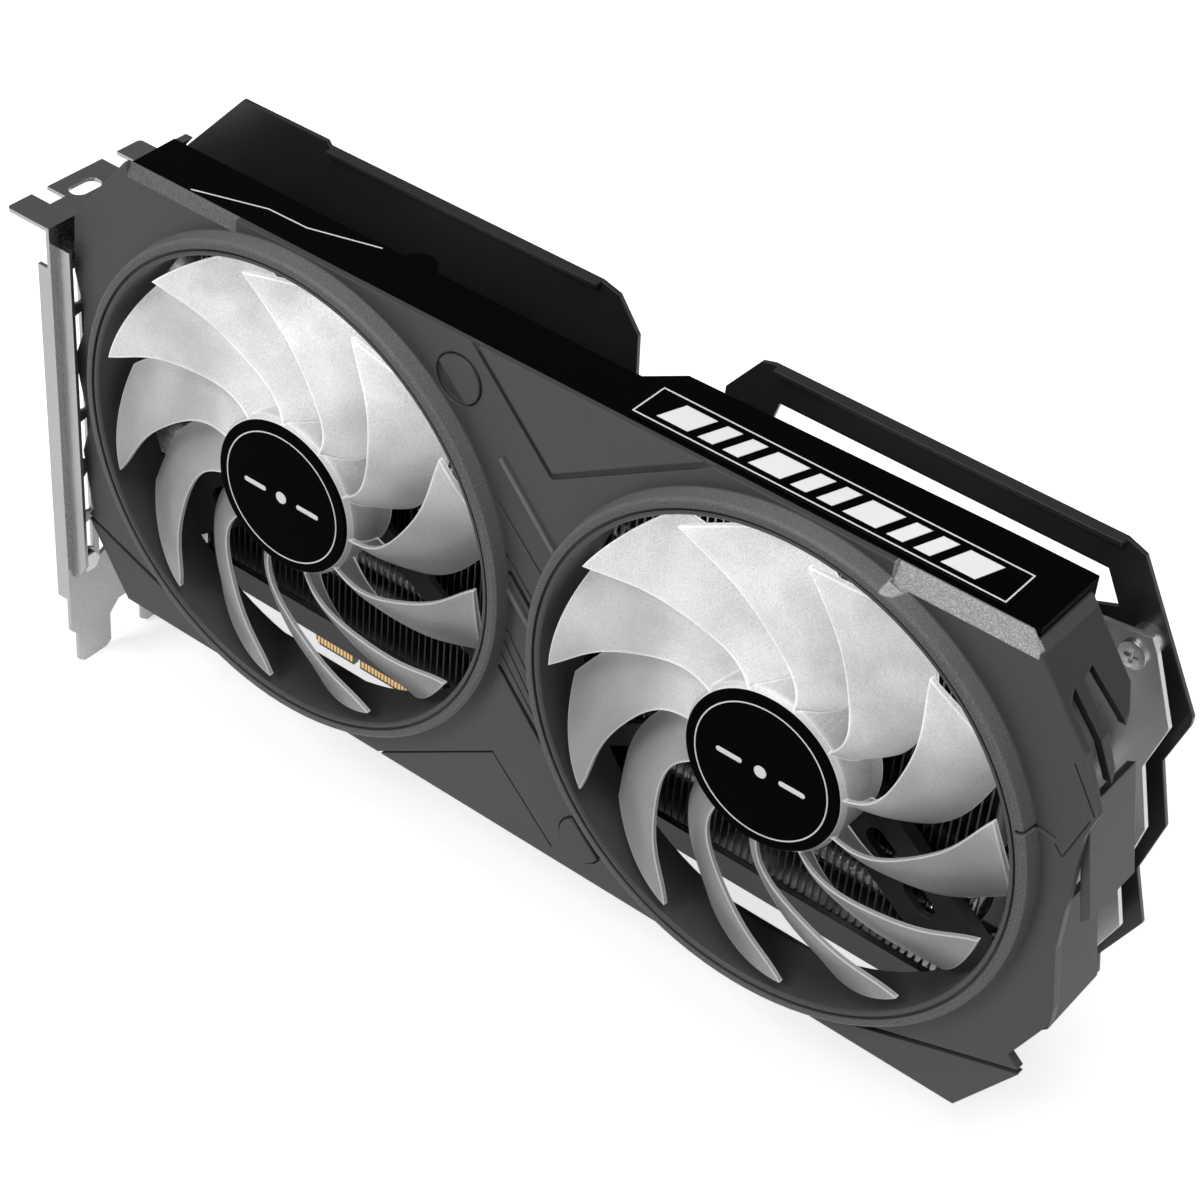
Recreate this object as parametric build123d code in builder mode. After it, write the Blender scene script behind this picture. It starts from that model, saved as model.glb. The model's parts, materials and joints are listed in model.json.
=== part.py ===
"""Dual-slot graphics card with two axial fans, in millimetres.

Frame: the origin is the middle of the key notch at the bottom of the edge connector,
on the mid-plane of the circuit board.  +X runs along the card from the bracket to the
tail, +Z up from the edge connector to the power socket, and the fans face -Y.
"Depth" below is the distance in front of the board's mid-plane, so depth = -Y.
"""
from build123d import *
import os
from math import atan2, cos, degrees, hypot, radians, sin, sqrt

os.makedirs("parts", exist_ok=True)

# ---------------------------------------------------------------- driving dimensions
CARD_MID_X = 68.5            # half way between the two fan axes
FAN_PITCH = 121.0
FAN_Z = 72.3                 # height of both fan axes above the edge connector
FAN_X = {"left": CARD_MID_X - FAN_PITCH / 2, "right": CARD_MID_X + FAN_PITCH / 2}

RIM_DEPTH = 35.0             # front of the raised rims and of the hub caps
PANEL_DEPTH = 31.0           # front of the shroud's face
PANEL_THICKNESS = 2.0
SKIN = 1.6                   # shroud wall thickness
SKIRT_DEPTH = 12.0           # where the side walls of the shroud end
DUCT_DEPTH = 20.8            # where the fan ducts end
DUCT_RADIUS = 53.2
RIM_RADIUS = 57.2
TOP_Z = 130.0                # top of the trim over the power socket side
TRIM_THICKNESS = 2.0
TRIM_FRONT = 29.6
BOTTOM_Z = 14.5
LOWER_WALL_DEPTH = 17.0      # where the lower side wall ends, short of the fins

BOARD_THICKNESS = 1.6
BOARD_FRONT = BOARD_THICKNESS / 2
BOARD_LEFT = -55.0
BOARD_RIGHT = 112.0
BOARD_BOTTOM = 8.25
BOARD_TOP = 106.65
BACKPLATE_DEPTH = -3.4       # front face of the backplate sheet, behind the board
BACKPLATE_THICKNESS = 1.0

BRACKET_X = -57.15           # inner face of the slot bracket
SHEET = 0.9                  # bracket sheet thickness
BRACKET_FRONT = 35.4         # depth of the bracket's front edge
BRACKET_WIDTH = 38.74
SLOT_PITCH = 20.32
TAB_TOP = 108.0
TAB_REACH = 11.43
TONGUE_WIDTH = 10.19
TONGUE_BOTTOM = TAB_TOP - 120.02

BLADE_COUNT = 11
BLADE_TIP_RADIUS = 50.8
HUB_RADIUS = 18.3
CAP_RADIUS = 17.4
BLADE_PHASE = {"left": -127.3, "right": -110.8}
HUB_BACK = 21.5
HUB_FRONT = 34.2
HUB_WALL = 1.8
SHAFT_RADIUS = 1.5
BEARING_CLEARANCE = 0.05
BASE_BACK = 19.2             # the fan's base plate lies between this depth and the duct end
ARM_ANGLE = {"left": -142.0, "right": -38.0}
ARM_TURN = {"left": (0, 110, -105), "right": (0, -110, 105)}
ARM_REACH = DUCT_RADIUS + 2.6

FIN_PITCH = 1.75
FIN_COUNT = 115
FIN_THICKNESS = 0.4
FIN_LEFT = -30.0
FIN_BOTTOM = 26.8
FIN_TOP = 117.0
FIN_FRONT = 17.0
FIN_BACK = 5.0
PIPE_RADIUS = 3.0
PIPE_FIT = 0.04              # solder gap round each heat pipe

PLATE_BACK = 3.4             # back of the heatsink's frame plate
END_PLATE_DEPTH = 2.6        # front of the metal plate at the tail
SCREW_SHANK = 1.2
SCREW_FIT = 0.1

GPU_X = 22.0
GPU_Z = 66.0


# ---------------------------------------------------------------- helpers
def front(depth):
    """Plane parallel to the board, local x = X and local y = Z, facing the viewer."""
    return Plane.XZ.offset(depth)


def turning_plane(x):
    """Plane through a fan axis, local x = radius and local y = Y."""
    return Plane(origin=(x, 0, FAN_Z), x_dir=(1, 0, 0), z_dir=(0, 0, 1))


def fan_axis(x):
    return Axis((x, 0, FAN_Z), (0, 1, 0))


def save(part, name):
    part.label = name
    export_step(part, f"parts/{name}.step")


def outline(points):
    """Closed polygon added to the active sketch, at its own coordinates."""
    Polygon(*points, align=None)


def mirrored(points):
    """The same points on the other side of the card's middle."""
    return [(2 * CARD_MID_X - x, z) for x, z in points]


def stroke(start, end, width, mode=Mode.ADD):
    """Straight bar with round ends between two points of the active sketch."""
    middle = ((start[0] + end[0]) / 2, (start[1] + end[1]) / 2)
    run_x, run_y = end[0] - start[0], end[1] - start[1]
    with Locations(Location(middle, (0, 0, degrees(atan2(run_y, run_x))))):
        SlotCenterToCenter(hypot(run_x, run_y), width, mode=mode)


def around(x, radius, angle):
    """Point at a radius and angle in degrees round a fan axis, as (X, Z)."""
    return (x + radius * cos(radians(angle)), FAN_Z + radius * sin(radians(angle)))


def arm_ends(side):
    """Where the three arms of a fan base meet their bosses."""
    return [around(FAN_X[side], ARM_REACH, ARM_ANGLE[side] + turn) for turn in ARM_TURN[side]]


# ---------------------------------------------------------------- shroud
BOSS_RADIUS = 2.4
FAN_SCREW_REACH = 5.0
POST_SCREW_REACH = 6.0
SHROUD_POSTS = {
    (-47.0, 100.0): BOARD_FRONT, (-34.0, 22.0): FIN_BACK, (176.0, 24.0): END_PLATE_DEPTH,
}
RIGHT_EDGE = [
    (174.0, TOP_Z), (183.4, 117.5), (188.6, 110.8), (193.4, 99.2), (192.0, 94.0),
    (192.0, 66.0), (194.4, 52.0), (194.4, 48.0), (188.0, 35.0),
]
LEFT_EDGE = [
    (-52.5, 35.0), (-53.6, 41.0), (-54.8, 50.0), (-52.4, 58.0), (-54.8, 69.0), (-55.6, 75.0),
    (-52.6, 83.0), (-52.6, 89.0), (-54.6, 97.0), (-53.8, 111.0), (-38.5, TOP_Z),
]
CORNER_FIN = [(-54.3, 32.2), (-42.5, BOTTOM_Z)]
CORNER_SLOT = [(-9.0, 16.2), (-60.0, 34.4)]
PANEL = (
    RIGHT_EDGE
    + mirrored(CORNER_FIN)
    + list(reversed(CORNER_FIN))
    + LEFT_EDGE
)

V_TOP = [(53.0, TOP_Z), (73.0, 109.5), (107.0, TOP_Z)]
V_BOTTOM = [(33.0, BOTTOM_Z), (63.5, 33.7), (80.4, 17.5)]
WAIST_RIBS = [
    ((60.8, 97.2), (72.4, 85.6)), ((63.2, 86.2), (70.6, 78.4)), ((64.4, 68.2), (71.6, 58.4)),
    ((64.4, 64.4), (73.2, 52.0)), ((63.8, 60.8), (74.0, 48.4)),
]
WAIST_SLOTS = [((65.0, 81.6), (70.4, 75.8)), ((63.8, 57.0), (75.6, 43.8))]
WAIST_BARS = [((61.2, 107.4), (74.8, 92.8)), ((63.0, 79.4), (70.4, 71.8))]
BEVELS = ((147.0, 176.5, 4.6), (-38.0, -8.0, 3.0))    # from, to and height along the top edge
TAIL_GROOVES = [
    ((187.3, 108.2), (193.0, 99.4)), ((192.4, 98.0), (189.0, 87.2)), ((189.0, 87.2), (187.2, 89.2)),
]
RIM_NOTCH = ((181.4, 91.2), (186.6, 90.6))
# gaps between the slats of the tail's side wall, as (Y, Z) outlines from the top downwards
SLAT_GAPS = [
    [(-28.6, 118.0), (-26.0, 119.4), (-24.4, 98.4), (-28.6, 98.4)],
    [(-22.8, 119.0), (-19.6, 120.2), (-16.0, 103.0), (-22.8, 98.4)],
]
SLAT_GAPS_FROM = 178.0
TAIL_OPENING = [(-29.0, 98.5), (-11.0, 115.0), (-11.0, 20.0), (-29.0, 20.0)]
TAIL_OPENING_FROM = 180.0
BEYOND_CARD = 300.0
LOWER_WALL_BAND = 50.0
BEYOND_TAIL = 20.0           # reaches clear of the tail
GROOVE_DEPTH = 0.9
FINE_GROOVE_DEPTH = 0.4
BAR_HEIGHT = 0.6
PLUG_RADIUS = 5.3
PLUG_FIT = 0.4
PLUG_POINTS = {(49.6, 120.4): -135.0, (87.4, 24.2): 45.0}

with BuildPart() as shroud:
    with BuildSketch(front(PANEL_DEPTH)):
        outline(PANEL)
        with Locations(*[(x, FAN_Z) for x in FAN_X.values()]):
            Circle(DUCT_RADIUS + 2.2, mode=Mode.SUBTRACT)
    extrude(amount=-PANEL_THICKNESS)
    with BuildSketch(front(PANEL_DEPTH)):
        outline(PANEL)
        offset(amount=-SKIN, mode=Mode.SUBTRACT)
    extrude(amount=-(PANEL_DEPTH - SKIRT_DEPTH))
    # the lower wall stops short, so air leaves under the fins
    with BuildSketch(front(LOWER_WALL_DEPTH)):
        with Locations((CARD_MID_X, BOTTOM_Z)):
            Rectangle(BEYOND_CARD, LOWER_WALL_BAND)
    extrude(amount=-(LOWER_WALL_DEPTH - SKIRT_DEPTH), mode=Mode.SUBTRACT)
    # the upper wall gives way to the trim
    with BuildSketch(front(TRIM_FRONT)):
        with Locations((CARD_MID_X, TOP_Z)):
            Rectangle(BEYOND_CARD, 2 * TRIM_THICKNESS)
    extrude(amount=-(TRIM_FRONT - SKIRT_DEPTH), mode=Mode.SUBTRACT)
    with BuildSketch(front(PANEL_DEPTH)):
        with Locations((68.0, TOP_Z - TRIM_THICKNESS - SKIN / 2)):
            Rectangle(210.0, SKIN)
    extrude(amount=-(PANEL_DEPTH - 17.5))
    # raised rims with a groove, running back into the ducts
    for fan_x in FAN_X.values():
        with BuildSketch(turning_plane(fan_x)):
            outline([
                (RIM_RADIUS, -TRIM_FRONT), (RIM_RADIUS, -PANEL_DEPTH),
                (56.8, -34.4), (56.2, -RIM_DEPTH), (54.8, -RIM_DEPTH), (54.8, -34.2),
                (54.2, -34.2), (54.2, -34.8), (53.6, -34.8), (DUCT_RADIUS, -34.4),
                (DUCT_RADIUS, -DUCT_DEPTH), (DUCT_RADIUS + SKIN, -DUCT_DEPTH),
                (DUCT_RADIUS + SKIN, -TRIM_FRONT),
            ])
        revolve(axis=fan_axis(fan_x))
    # sand-blasted bevel over the tail end of the face, and a narrow one at the bracket
    for x_from, x_to, drop in BEVELS:
        with BuildSketch(Plane.YZ.offset(x_from)):
            outline([
                (-PANEL_DEPTH - 1, TOP_Z - drop), (-PANEL_DEPTH, TOP_Z - drop),
                (-TRIM_FRONT, TOP_Z), (-TRIM_FRONT, TOP_Z + 1), (-PANEL_DEPTH - 1, TOP_Z + 1),
            ])
        extrude(amount=x_to - x_from, mode=Mode.SUBTRACT)
    # surface grooves, recesses for the plugs, and slots that free the corner fins
    with BuildSketch(front(PANEL_DEPTH)):
        for corners, width in ((V_TOP, 1.3), (V_BOTTOM, 0.5)):
            for start, end in zip(corners, corners[1:]):
                stroke(start, end, width)
        for start, end in WAIST_RIBS:
            stroke(start, end, 0.4)
        for place in PLUG_POINTS:
            with Locations(place):
                Circle(PLUG_RADIUS + PLUG_FIT)
    extrude(amount=-GROOVE_DEPTH, mode=Mode.SUBTRACT)
    with BuildSketch(front(PANEL_DEPTH)):
        for start, end in TAIL_GROOVES:
            stroke(start, end, 0.35)
    extrude(amount=-FINE_GROOVE_DEPTH, mode=Mode.SUBTRACT)
    with BuildSketch(front(RIM_DEPTH)):
        stroke(*RIM_NOTCH, 0.9)
    extrude(amount=-(RIM_DEPTH - PANEL_DEPTH + FINE_GROOVE_DEPTH), mode=Mode.SUBTRACT)
    with BuildSketch(front(PANEL_DEPTH)):
        for start, end in WAIST_SLOTS:
            stroke(start, end, 1.2)
        stroke(*CORNER_SLOT, 1.2)
        stroke(*mirrored(CORNER_SLOT), 1.2)
    extrude(amount=-PANEL_THICKNESS, mode=Mode.SUBTRACT)
    with BuildSketch(front(PANEL_DEPTH)):
        for start, end in WAIST_BARS:
            stroke(start, end, 1.0)
    extrude(amount=BAR_HEIGHT)
    # the side wall at the tail is open between its slats and vanes
    with BuildSketch(Plane.YZ.offset(TAIL_OPENING_FROM)):
        outline(TAIL_OPENING)
    extrude(amount=BEYOND_TAIL, mode=Mode.SUBTRACT)
    with BuildSketch(Plane.YZ.offset(SLAT_GAPS_FROM)):
        for gap in SLAT_GAPS:
            outline(gap)
    extrude(amount=BEYOND_TAIL, mode=Mode.SUBTRACT)
    # bosses that carry the fan arms, bored for their screws
    for side in FAN_X:
        with BuildSketch(front(PANEL_DEPTH - PANEL_THICKNESS)):
            with Locations(*arm_ends(side)):
                Circle(BOSS_RADIUS)
        extrude(amount=-(PANEL_DEPTH - PANEL_THICKNESS - DUCT_DEPTH))
        with BuildSketch(front(DUCT_DEPTH)):
            with Locations(*arm_ends(side)):
                Circle(SCREW_SHANK)
        extrude(amount=FAN_SCREW_REACH, mode=Mode.SUBTRACT)
    # posts down to the board, the heatsink frame and the end plate
    for place, post_end in SHROUD_POSTS.items():
        with BuildSketch(front(PANEL_DEPTH - PANEL_THICKNESS)):
            with Locations(place):
                Circle(BOSS_RADIUS)
        extrude(amount=-(PANEL_DEPTH - PANEL_THICKNESS - post_end))
        with BuildSketch(front(post_end)):
            with Locations(place):
                Circle(SCREW_SHANK)
        extrude(amount=POST_SCREW_REACH, mode=Mode.SUBTRACT)
save(shroud.part, "shroud")


# ---------------------------------------------------------------- trim on the shroud
LABEL_X = 127.2
LABEL_Y = -22.8
LABEL_LENGTH = 81.0
LABEL_WIDTH = 11.0
LABEL_THICKNESS = 0.4
INLAY_HEIGHT = 0.1
INLAY_WIDTH = 0.3
MARK_HEIGHT = 6.4
MARK_SLANT = 2.2

with BuildPart() as top_trim:
    with BuildSketch(Plane.XY.offset(TOP_Z - TRIM_THICKNESS)):
        outline([
            (-37.5, -TRIM_FRONT), (174.0, -TRIM_FRONT), (175.0, -28.6), (175.0, -9.6),
            (159.0, -9.6), (88.0, -11.2), (81.8, -17.4), (-38.0, -17.4),
        ])
        with Locations((27.5, -17.4)):
            Circle(3.6)
    extrude(amount=TRIM_THICKNESS)
    # turned-down end behind the tail corner
    with BuildSketch(Plane.XY.offset(TOP_Z - TRIM_THICKNESS)):
        with Locations((174.2, -10.7)):
            Rectangle(SKIN, 2.2)
    extrude(amount=-5.0)
save(top_trim.part, "top_trim")

with BuildPart() as label_plate:
    with BuildSketch(Plane.XY.offset(TOP_Z)):
        with Locations((LABEL_X, LABEL_Y)):
            Rectangle(LABEL_LENGTH, LABEL_WIDTH)
    extrude(amount=LABEL_THICKNESS)
    chamfer(label_plate.edges().group_by(Axis.Z)[-1], 0.2)
save(label_plate.part, "label_plate")

with BuildPart() as label_frame:
    with BuildSketch(Plane.XY.offset(TOP_Z + LABEL_THICKNESS)):
        with Locations((LABEL_X, LABEL_Y)):
            Rectangle(LABEL_LENGTH - 1.2, LABEL_WIDTH - 1.2)
            Rectangle(LABEL_LENGTH - 1.8, LABEL_WIDTH - 1.8, mode=Mode.SUBTRACT)
    extrude(amount=INLAY_HEIGHT)
save(label_frame.part, "label_frame")

# plain slanted bars of repeating widths
with BuildPart() as label_marks:
    with BuildSketch(Plane.XY.offset(TOP_Z + LABEL_THICKNESS)):
        mark_x = LABEL_X - LABEL_LENGTH / 2 + 6.0
        for width in (7.0, 3.4, 3.4, 7.0, 3.4, 3.4, 7.0, 3.4, 3.4, 7.0):
            with Locations((mark_x + width / 2, LABEL_Y)):
                Polygon(
                    (-width / 2 - MARK_SLANT / 2, -MARK_HEIGHT / 2),
                    (width / 2 - MARK_SLANT / 2, -MARK_HEIGHT / 2),
                    (width / 2 + MARK_SLANT / 2, MARK_HEIGHT / 2),
                    (-width / 2 + MARK_SLANT / 2, MARK_HEIGHT / 2),
                    align=None,
                )
            mark_x += width + 2.2
    extrude(amount=INLAY_HEIGHT)
save(label_marks.part, "label_marks")

INLAY_POINTS = [(-21.8, -29.0), (-6.1, -23.6), (3.9, -23.4), (19.1, -18.6)]
with BuildPart() as trim_inlay:
    with BuildSketch(Plane.XY.offset(TOP_Z)):
        for start, end in zip(INLAY_POINTS, INLAY_POINTS[1:]):
            stroke(start, end, INLAY_WIDTH)
    extrude(amount=INLAY_HEIGHT)
save(trim_inlay.part, "trim_inlay")

with BuildPart() as shroud_plugs:
    for place, flat_turn in PLUG_POINTS.items():
        with BuildSketch(front(PANEL_DEPTH + 0.5)):
            with Locations(Location(place, (0, 0, flat_turn))):
                Circle(PLUG_RADIUS)
                with Locations((PLUG_RADIUS * 1.35, 0)):
                    Rectangle(PLUG_RADIUS * 2, PLUG_RADIUS * 3, mode=Mode.SUBTRACT)
        extrude(amount=-1.4)
    fillet(shroud_plugs.edges().group_by(Axis.Y)[0], 0.3)
save(shroud_plugs.part, "shroud_plugs")

# two louvres on the tail, each leaning outwards towards its lower edge
VANES = [
    ((191.0, 99.0), (196.0, 75.0), 13.0),
    ((188.6, 68.6), (193.6, 44.6), 11.0),
]
with BuildPart() as tail_vanes:
    for (top_x, top_z), (low_x, low_z), back_depth in VANES:
        with BuildSketch(front(PANEL_DEPTH - PANEL_THICKNESS)):
            outline([
                (top_x, top_z), (low_x, low_z), (low_x - SKIN, low_z - SKIN),
                (top_x - SKIN, top_z - SKIN / 2),
            ])
        extrude(amount=-(PANEL_DEPTH - PANEL_THICKNESS - back_depth))
save(tail_vanes.part, "tail_vanes")

# ---------------------------------------------------------------- backplate
FLANGE_WIDTH = 2.7
BACKPLATE_OUTLINE = [
    (-55.0, 12.0), (-55.0, 112.8), (-38.7, 130.2), (-15.4, 130.2), (-14.6, 129.2),
    (56.0, 129.2), (60.5, 128.0), (65.8, 121.0), (66.4, 109.5), (87.0, 109.5), (87.1, 119.8),
    (94.2, 128.8), (97.0, 129.6), (173.0, 129.6), (177.2, 128.0), (193.2, 99.6), (193.2, 97.6),
    (189.9, 87.0), (193.8, 73.0), (190.6, 60.0), (194.4, 48.0), (187.6, 34.6), (188.4, 30.0),
    (181.6, 15.8), (180.6, 12.0), (84.0, 12.0), (82.0, 9.6), (-12.0, 9.6), (-14.0, 12.0),
]
WINDOW = [
    (99.4, 121.8), (171.0, 121.8), (174.6, 115.0), (169.6, 113.0), (163.0, 84.0),
    (108.0, 84.0), (97.4, 114.5),
]
BACKPLATE_SCREWS = [
    (-47.0, 20.0), (-47.0, 100.0), (60.0, 100.0), (60.0, 20.0), (104.0, 20.0), (104.0, 76.0),
]
COOLER_SCREWS = [(GPU_X + dx, GPU_Z + dz) for dx in (-28.0, 28.0) for dz in (-28.0, 28.0)]
END_SCREWS = [(181.6, 111.8), (180.5, 62.0), (176.0, 24.0)]

with BuildPart() as backplate:
    with BuildSketch(front(BACKPLATE_DEPTH)):
        outline(BACKPLATE_OUTLINE)
        Polygon(*WINDOW, align=None, mode=Mode.SUBTRACT)
        with Locations(*COOLER_SCREWS):
            Circle(4.6, mode=Mode.SUBTRACT)
        with Locations(*(BACKPLATE_SCREWS + END_SCREWS)):
            Circle(SCREW_SHANK + SCREW_FIT, mode=Mode.SUBTRACT)
        # exhaust slits behind the first fan
        for slit_x in range(-30, 60, 10):
            stroke((slit_x, 17.0), (slit_x + 5.0, 25.0), 2.4, mode=Mode.SUBTRACT)
    extrude(amount=-BACKPLATE_THICKNESS)
    # folded top flange
    for start_x, end_x, top in ((-14.0, 56.0, 129.2), (98.0, 173.0, 129.6)):
        with BuildSketch(front(BACKPLATE_DEPTH)):
            with Locations(((start_x + end_x) / 2, top - BACKPLATE_THICKNESS / 2)):
                Rectangle(end_x - start_x, BACKPLATE_THICKNESS)
        extrude(amount=FLANGE_WIDTH - BACKPLATE_THICKNESS)
save(backplate.part, "backplate")

END_PLATE_THICKNESS = 1.2
SPACER_RADIUS = 3.2
END_PLATE = [
    (172.0, 115.4), (184.4, 117.0), (186.0, 114.2), (191.6, 99.8), (188.6, 89.0), (192.2, 75.6),
    (189.4, 61.6), (192.4, 50.4), (188.8, 42.0), (183.4, 22.0), (180.6, 16.0), (168.0, 16.0),
    (168.0, 90.0),
]
with BuildPart() as end_plate:
    with BuildSketch(front(END_PLATE_DEPTH)):
        outline(END_PLATE)
        with Locations(*END_SCREWS):
            Circle(SCREW_SHANK + SCREW_FIT, mode=Mode.SUBTRACT)
    extrude(amount=-END_PLATE_THICKNESS)
    # spacer posts down to the backplate
    with BuildSketch(front(END_PLATE_DEPTH - END_PLATE_THICKNESS)):
        with Locations(*END_SCREWS):
            Circle(SPACER_RADIUS)
            Circle(SCREW_SHANK + SCREW_FIT, mode=Mode.SUBTRACT)
    extrude(amount=-(END_PLATE_DEPTH - END_PLATE_THICKNESS - BACKPLATE_DEPTH))
save(end_plate.part, "end_plate")


# ---------------------------------------------------------------- slot bracket
BRACKET_BACK = BRACKET_FRONT - BRACKET_WIDTH
TONGUE_CENTRES = [28.3, 28.3 - SLOT_PITCH]
TAB_CORNER = 1.0
NOTCH_DEPTH = 26.2           # depth of the first slot screw's notch
NOTCH_REACH = 4.6
NOTCH_WIDTH = 4.4
LIP_REACH = 2.4
LIP_BOTTOM = 8.0
LIP_TOP = 98.0
WINDOW_BOTTOM = 16.0
WINDOW_PITCH = 14.0
WINDOW_COUNT = 6
BAR = 2.2
PORT_DEPTH = 4.3             # depth of the middle of the display sockets
PORT_Z = {"displayport": (44.0, 66.0, 88.0), "hdmi": (22.0,)}
PORT_LENGTH = {"displayport": 16.1, "hdmi": 14.0}
PORT_HEIGHT = {"displayport": 4.8, "hdmi": 4.6}
SHELL = 0.3
SHELL_REACH = 17.0
SHELL_LIP = 0.4              # how far a shell stands out of the bracket
SHELL_END = 2.0
TONGUE_SETBACK = 1.0
BRACKET_SCREWS = [(30.0, 99.4), (30.0, 17.6)]
COUNTERSINK_RADIUS = 2.05
FLUSH_HEAD_RADIUS = 2.0
FLUSH_HEAD_HEIGHT = 0.7
FLUSH_GAP = 0.05
RAIL_SCREW_RADIUS = 1.25
NUT_RADIUS = 2.6
NUT_HEIGHT = 1.1

with BuildPart() as bracket:
    # upright sheet with its two tongues
    with BuildSketch(Plane.YZ.offset(BRACKET_X - SHEET)):
        outline([
            (-BRACKET_FRONT, 0.0), (-BRACKET_FRONT, TAB_TOP), (-BRACKET_BACK, TAB_TOP),
            (-BRACKET_BACK, 0.0),
        ])
        for centre in TONGUE_CENTRES:
            outline([
                (-centre - TONGUE_WIDTH / 2 - 3.0, 0.1), (-centre - TONGUE_WIDTH / 2, -3.0),
                (-centre - TONGUE_WIDTH / 2, TONGUE_BOTTOM + 1.2),
                (-centre - TONGUE_WIDTH / 2 + 1.6, TONGUE_BOTTOM),
                (-centre + TONGUE_WIDTH / 2 - 1.6, TONGUE_BOTTOM),
                (-centre + TONGUE_WIDTH / 2, TONGUE_BOTTOM + 1.2),
                (-centre + TONGUE_WIDTH / 2, -3.0), (-centre + TONGUE_WIDTH / 2 + 3.0, 0.1),
            ])
        with Locations((-BRACKET_FRONT - 5.0, -3.0), (-BRACKET_BACK + 5.0, -3.0)):
            Rectangle(10.0, 10.0, mode=Mode.SUBTRACT)
        # truss of exhaust windows: trapezia that point up and down in turn
        for index in range(WINDOW_COUNT):
            low = WINDOW_BOTTOM + index * WINDOW_PITCH
            high = low + WINDOW_PITCH - BAR
            lean = 4.0 if index % 2 else -4.0
            middle = (low + high) / 2
            Polygon(
                (-33.4, middle - 2.6 - lean / 2), (-33.4, middle + 2.6 - lean / 2),
                (-27.4, high), (-27.4, low), align=None, mode=Mode.SUBTRACT,
            )
            Polygon(
                (-25.6, low), (-25.6, high), (-14.0, high - 3.0 - lean / 2),
                (-14.0, low + 3.0 - lean / 2), align=None, mode=Mode.SUBTRACT,
            )
        for kind, places in PORT_Z.items():
            with Locations(*[(-PORT_DEPTH, z) for z in places]):
                Rectangle(PORT_HEIGHT[kind] + 0.4, PORT_LENGTH[kind] + 0.4, mode=Mode.SUBTRACT)
    extrude(amount=SHEET)
    with Locations(*[
        Location((BRACKET_X - SHEET, -depth, z), (0, -90, 0)) for depth, z in BRACKET_SCREWS
    ]):
        CounterSinkHole(RAIL_SCREW_RADIUS + FLUSH_GAP, COUNTERSINK_RADIUS, SHEET, 90)
    # tab over the chassis rail, notched for the slot screws
    with BuildSketch(Plane.XY.offset(TAB_TOP)) as tab:
        with Locations((BRACKET_X - (TAB_REACH + SHEET) / 2, -(BRACKET_FRONT + BRACKET_BACK) / 2)):
            Rectangle(TAB_REACH + SHEET, BRACKET_WIDTH)
        fillet(tab.vertices().group_by(Axis.X)[0], TAB_CORNER)
        for depth in (NOTCH_DEPTH, NOTCH_DEPTH - SLOT_PITCH):
            with Locations((BRACKET_X - TAB_REACH, -depth)):
                Rectangle(2 * NOTCH_REACH, NOTCH_WIDTH, mode=Mode.SUBTRACT)
        with Locations((BRACKET_X - TAB_REACH / 2 - 1.0, -18.4)):
            SlotCenterToCenter(3.6, NOTCH_WIDTH, rotation=90, mode=Mode.SUBTRACT)
    extrude(amount=-SHEET)
    # stiffening lip turned outwards along the front edge
    with BuildSketch(Plane.XY.offset(LIP_BOTTOM)):
        with Locations((BRACKET_X - SHEET - LIP_REACH / 2, -BRACKET_FRONT + SHEET / 2)):
            Rectangle(LIP_REACH + SHEET, SHEET)
    extrude(amount=LIP_TOP - LIP_BOTTOM)
save(bracket.part, "bracket")

RAIL_REACH = 4.0
TAB_EAR = 6.4
with BuildPart() as bracket_rail:
    with BuildSketch(Plane.XZ.offset(32.8)):
        outline([
            (BRACKET_X, 15.5), (BRACKET_X + 2.0, 15.5), (BRACKET_X + RAIL_REACH, 19.0),
            (BRACKET_X + RAIL_REACH, 103.0), (BRACKET_X, 103.0),
        ])
    extrude(amount=SHEET)
    with BuildSketch(Plane.YZ.offset(BRACKET_X)):
        with Locations(*[(-depth, z) for depth, z in BRACKET_SCREWS]):
            Circle(TAB_EAR / 2)
        with Locations(*[(-31.5, z) for _, z in BRACKET_SCREWS]):
            Rectangle(4.4, TAB_EAR)
        with Locations(*[(-depth, z) for depth, z in BRACKET_SCREWS]):
            Circle(RAIL_SCREW_RADIUS + FLUSH_GAP, mode=Mode.SUBTRACT)
    extrude(amount=SHEET)
save(bracket_rail.part, "bracket_rail")

with BuildPart() as bracket_screws:
    for depth, z in BRACKET_SCREWS:
        with BuildSketch(Plane.YZ.offset(BRACKET_X - SHEET + FLUSH_GAP)):
            with Locations((-depth, z)):
                Circle(FLUSH_HEAD_RADIUS)
        extrude(amount=FLUSH_HEAD_HEIGHT, taper=45)
        with BuildSketch(Plane.YZ.offset(BRACKET_X - SHEET + FLUSH_GAP)):
            with Locations((-depth, z)):
                Circle(RAIL_SCREW_RADIUS)
        extrude(amount=SHEET * 2 + NUT_HEIGHT - FLUSH_GAP)
        # clinch nut on the inner end
        with BuildSketch(Plane.YZ.offset(BRACKET_X + SHEET)):
            with Locations((-depth, z)):
                RegularPolygon(NUT_RADIUS, 6)
                Circle(RAIL_SCREW_RADIUS, mode=Mode.SUBTRACT)
        extrude(amount=NUT_HEIGHT)
save(bracket_screws.part, "bracket_screws")

# ---------------------------------------------------------------- circuit board
FINGER_LEFT = -12.6
FINGER_RIGHT = 72.6
KEY_WIDTH = 1.9
CONTACT_PITCH = 1.0
CONTACT_WIDTH = 0.72
CONTACT_THICKNESS = 0.04

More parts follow.
